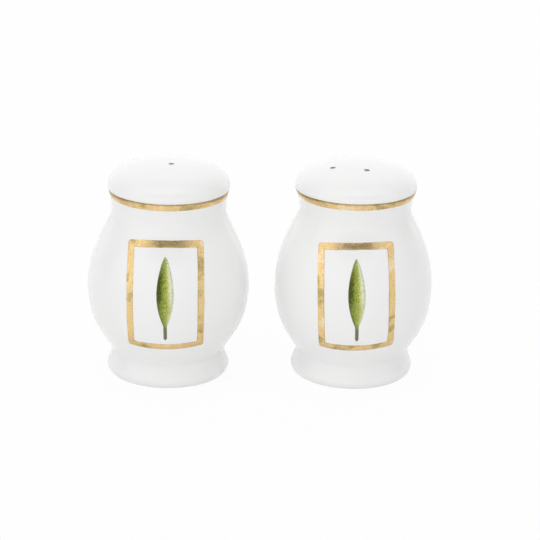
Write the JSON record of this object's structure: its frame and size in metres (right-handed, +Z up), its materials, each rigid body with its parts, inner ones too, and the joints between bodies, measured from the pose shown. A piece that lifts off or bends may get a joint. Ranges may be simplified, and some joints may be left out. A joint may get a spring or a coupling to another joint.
{
  "type": "cruet set",
  "caption": "Porcelain salt and pepper shakers with domed pierced tops, gold line decoration, a green leaf panel and a soft stopper in each base.",
  "frame": {"origin": "on the table, under the middle of the overall box, between the two shakers", "axes": "+Z up, +X from the salt shaker to the pepper shaker, -Y the side with the gold frames"},
  "size_m": [0.121, 0.0567, 0.0765],
  "materials": {
    "porcelain": "gloss",
    "gold_lustre": "satin",
    "leaf_enamel": "gloss",
    "stopper_plastic": "satin"
  },
  "bodies": {
    "salt": {"salt_body": "porcelain", "salt_rim_band": "gold_lustre", "salt_frame": "gold_lustre", "salt_leaf": "leaf_enamel"},
    "salt_plug": {"salt_stopper": "stopper_plastic"},
    "pepper": {"pepper_body": "porcelain", "pepper_rim_band": "gold_lustre", "pepper_frame": "gold_lustre", "pepper_leaf": "leaf_enamel"},
    "pepper_plug": {"pepper_stopper": "stopper_plastic"}
  },
  "joints": [
    {"name": "pepper_lift", "type": "slide", "parent": "salt", "child": "pepper", "axis": [0, 0, 1], "range_m": [0, 0.12]},
    {"name": "salt_stopper_pull", "type": "slide", "parent": "salt", "child": "salt_plug", "axis": [0, 0, -1], "range_m": [0, 0.025]},
    {"name": "pepper_stopper_pull", "type": "slide", "parent": "pepper", "child": "pepper_plug", "axis": [0, 0, -1], "range_m": [0, 0.025]}
  ]
}
